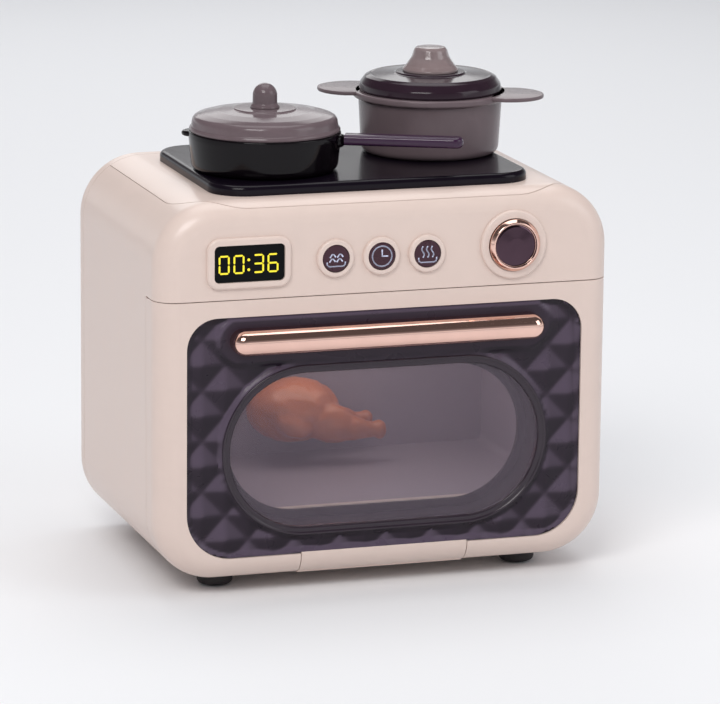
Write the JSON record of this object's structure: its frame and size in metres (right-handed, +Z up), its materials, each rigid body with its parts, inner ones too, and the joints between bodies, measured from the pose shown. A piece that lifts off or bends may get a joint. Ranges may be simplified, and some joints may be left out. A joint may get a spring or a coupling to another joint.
{
  "type": "toy oven",
  "caption": "Toy oven with drop-down windowed door, push buttons, turning knob, and a lidded pan and pot that lift off its hob.",
  "frame": {"origin": "on the floor, below the centre of the whole outline", "axes": "+Z up, the door and controls face -Y, +X to the right seen from the front"},
  "size_m": [0.182, 0.128, 0.1986],
  "materials": {
    "cream_shell": "satin pinkish cream",
    "cavity_plastic": "satin grey mauve",
    "smoke_panel": "gloss smoky purple",
    "smoke_window": "clear with a smoky tint",
    "rose_chrome": "mirror rose gold",
    "hob_black": "gloss black",
    "display_black": "gloss black window",
    "button_maroon": "gloss",
    "pan_black": "gloss",
    "pan_handle_plum": "gloss",
    "pan_lid_taupe": "gloss",
    "pot_taupe": "satin",
    "pot_lid_plum": "gloss",
    "pot_knob_clear": "translucent grey brown",
    "roast_brown": "gloss",
    "steel": "plated",
    "board_green": "solder mask",
    "part_black": "matte",
    "lamp_clear": "clear",
    "lamp_warm": "diffuse",
    "cell_grey": "printed sleeve, plain",
    "foot_rubber": "matte"
  },
  "bodies": {
    "housing": {"main_housing": "cream_shell", "top_cover": "cream_shell", "rear_cover": "cream_shell", "oven_cavity": "cavity_plastic", "cavity_screws": "steel", "hob_plate": "hob_black", "hob_screws": "steel", "hinge_pin": "steel", "catch_spring": "steel", "display_screen": "display_black", "circuit_board": "board_green", "board_parts": "part_black", "board_screws": "steel", "knob_encoder": "part_black", "oven_lamp": "lamp_warm", "lamp_lens": "lamp_clear", "toy_roast": "roast_brown", "roast_screw": "steel", "speaker": "part_black", "speaker_clamp": "cream_shell", "battery_box": "smoke_panel", "battery_contacts": "steel", "battery_cells": "cell_grey", "switch_case": "steel", "rear_screws": "steel", "foot_front_left": "foot_rubber", "foot_front_right": "foot_rubber", "foot_rear_left": "foot_rubber", "foot_rear_right": "foot_rubber", "spring_bake": "steel", "spring_timer": "steel", "spring_steam": "steel"},
    "door": {"door_frame": "cream_shell", "door_glass": "smoke_panel", "window_ring": "smoke_panel", "window_pane": "smoke_window", "door_liner": "smoke_panel", "door_screws": "steel", "door_handle": "rose_chrome", "handle_screws": "steel", "door_catch": "smoke_panel"},
    "knob": {"knob_cap": "rose_chrome", "knob_shaft": "steel"},
    "bake_button": {"button_bake": "button_maroon"},
    "timer_button": {"button_timer": "button_maroon"},
    "steam_button": {"button_steam": "button_maroon"},
    "battery_hatch": {"battery_door": "cream_shell", "battery_door_screw": "steel"},
    "power_switch": {"switch_slider": "part_black"},
    "pan": {"pan_body": "pan_black", "pan_handle": "pan_handle_plum", "pan_rivets": "steel"},
    "pan_cover": {"pan_lid": "pan_lid_taupe", "pan_lid_knob": "pan_lid_taupe"},
    "pot": {"pot_body": "pot_taupe"},
    "pot_cover": {"pot_lid": "pot_lid_plum", "pot_lid_knob": "pot_knob_clear"}
  },
  "joints": [
    {"name": "door_hinge", "type": "hinge", "parent": "housing", "child": "door", "pos_m": [0, -0.05, 0.01], "axis": [1, 0, 0], "range_deg": [0, 85]},
    {"name": "knob_turn", "type": "hinge", "parent": "housing", "child": "knob", "pos_m": [0.0506, -0.056, 0.1316], "axis": [0, 1, 0], "continuous": true},
    {"name": "bake_press", "type": "slide", "parent": "housing", "child": "bake_button", "axis": [0, 1, 0], "range_m": [0, 0.0012], "stiffness_N_per_m": 400, "springref_m": -0.0008, "deforming": ["spring_bake"]},
    {"name": "timer_press", "type": "slide", "parent": "housing", "child": "timer_button", "axis": [0, 1, 0], "range_m": [0, 0.0012], "stiffness_N_per_m": 400, "springref_m": -0.0008, "deforming": ["spring_timer"]},
    {"name": "steam_press", "type": "slide", "parent": "housing", "child": "steam_button", "axis": [0, 1, 0], "range_m": [0, 0.0012], "stiffness_N_per_m": 400, "springref_m": -0.0008, "deforming": ["spring_steam"]},
    {"name": "battery_hatch_off", "type": "slide", "parent": "housing", "child": "battery_hatch", "axis": [0, 1, 0], "range_m": [0, 0.03]},
    {"name": "power_switch_slide", "type": "slide", "parent": "housing", "child": "power_switch", "axis": [1, 0, 0], "range_m": [0, 0.004]},
    {"name": "pan_lift", "type": "slide", "parent": "housing", "child": "pan", "axis": [0, 0, 1], "range_m": [0, 0.08]},
    {"name": "pan_lid_lift", "type": "slide", "parent": "pan", "child": "pan_cover", "axis": [0, 0, 1], "range_m": [0, 0.05]},
    {"name": "pot_lift", "type": "slide", "parent": "housing", "child": "pot", "axis": [0, 0, 1], "range_m": [0, 0.08]},
    {"name": "pot_lid_lift", "type": "slide", "parent": "pot", "child": "pot_cover", "axis": [0, 0, 1], "range_m": [0, 0.05]}
  ]
}
